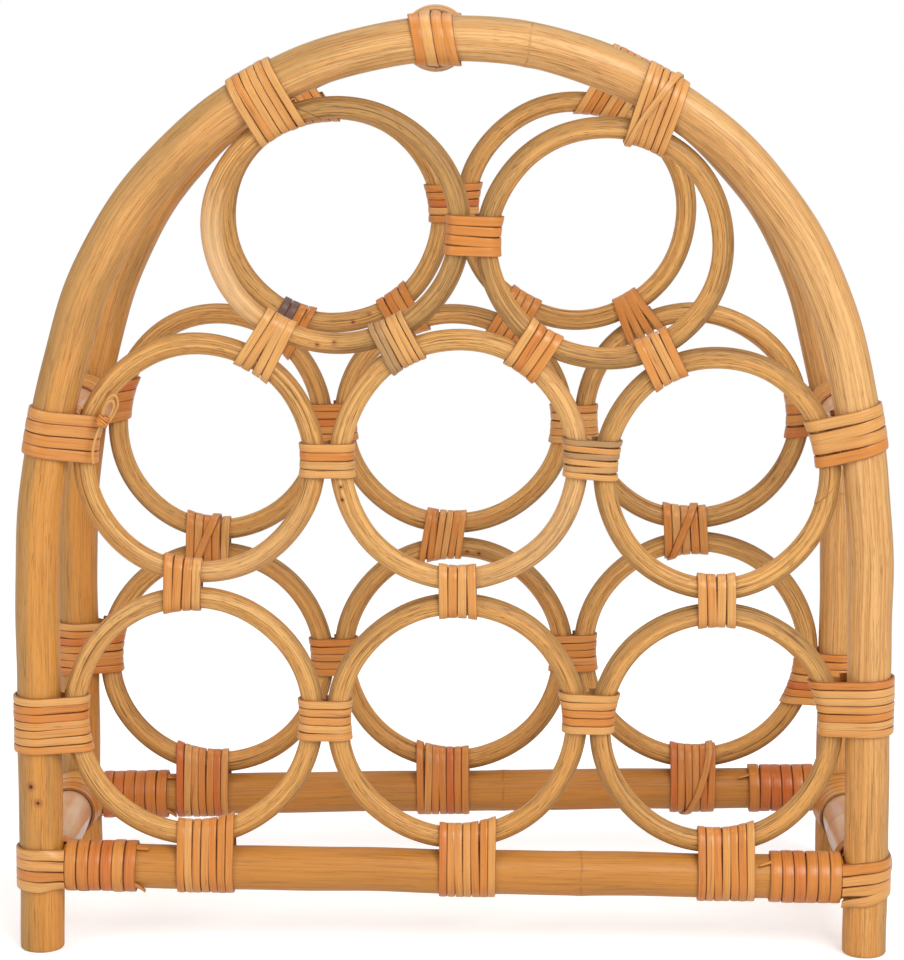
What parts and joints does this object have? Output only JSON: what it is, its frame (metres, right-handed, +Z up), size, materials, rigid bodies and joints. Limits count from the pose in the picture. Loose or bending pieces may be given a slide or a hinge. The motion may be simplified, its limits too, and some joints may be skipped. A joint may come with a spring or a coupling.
{
  "type": "wine rack",
  "caption": "Arched wine rack of bent rattan: front and rear frames filled with rings that hold bottles lying down, lashed with split cane and joined by short stretchers.",
  "frame": {"origin": "on the floor, under the middle of the rack", "axes": "+Z up, front towards -Y, +X to the right seen from the front"},
  "size_m": [0.4022, 0.1558, 0.4284],
  "materials": {
    "arch_pole": "satin",
    "rail_pole": "satin",
    "ring_pole": "matte",
    "stretcher_pole": "satin",
    "cane": "satin"
  },
  "bodies": {
    "root": {"front_arch": "arch_pole", "front_lashing_bottom_left_to_arch": "cane", "front_lashing_bottom_left_to_bottom_middle": "cane", "front_lashing_bottom_left_to_middle_left": "cane", "front_lashing_bottom_left_to_rail": "cane", "front_lashing_bottom_middle_to_bottom_right": "cane", "front_lashing_bottom_middle_to_middle_middle": "cane", "front_lashing_bottom_middle_to_rail": "cane", "front_lashing_bottom_right_to_arch": "cane", "front_lashing_bottom_right_to_middle_right": "cane", "front_lashing_bottom_right_to_rail": "cane", "front_lashing_corner_left": "cane", "front_lashing_corner_right": "cane", "front_lashing_crown": "cane", "front_lashing_middle_left_to_arch": "cane", "front_lashing_middle_left_to_middle_middle": "cane", "front_lashing_middle_left_to_top_left": "cane", "front_lashing_middle_middle_to_middle_right": "cane", "front_lashing_middle_middle_to_top_left": "cane", "front_lashing_middle_middle_to_top_right": "cane", "front_lashing_middle_right_to_arch": "cane", "front_lashing_middle_right_to_top_right": "cane", "front_lashing_top_left_to_arch": "cane", "front_lashing_top_left_to_top_right": "cane", "front_lashing_top_right_to_arch": "cane", "front_rail": "rail_pole", "front_ring_bottom_left": "ring_pole", "front_ring_bottom_middle": "ring_pole", "front_ring_bottom_right": "ring_pole", "front_ring_middle_left": "ring_pole", "front_ring_middle_middle": "ring_pole", "front_ring_middle_right": "ring_pole", "front_ring_top_left": "ring_pole", "front_ring_top_right": "ring_pole", "rear_arch": "arch_pole", "rear_lashing_bottom_left_to_arch": "cane", "rear_lashing_bottom_middle_to_middle_middle": "cane", "rear_lashing_bottom_middle_to_rail": "cane", "rear_lashing_bottom_right_to_arch": "cane", "rear_lashing_corner_left": "cane", "rear_lashing_corner_right": "cane", "rear_lashing_crown": "cane", "rear_lashing_middle_left_to_arch": "cane", "rear_lashing_middle_right_to_arch": "cane", "rear_lashing_top_left_to_arch": "cane", "rear_lashing_top_right_to_arch": "cane", "rear_rail": "rail_pole", "rear_ring_bottom_left": "ring_pole", "rear_ring_bottom_middle": "ring_pole", "rear_ring_bottom_right": "ring_pole", "rear_ring_middle_left": "ring_pole", "rear_ring_middle_middle": "ring_pole", "rear_ring_middle_right": "ring_pole", "rear_ring_top_left": "ring_pole", "rear_ring_top_right": "ring_pole", "stretcher_bottom_left": "stretcher_pole", "stretcher_bottom_right": "stretcher_pole", "stretcher_middle_left": "stretcher_pole", "stretcher_middle_right": "stretcher_pole", "stretcher_top": "stretcher_pole"}
  },
  "joints": []
}
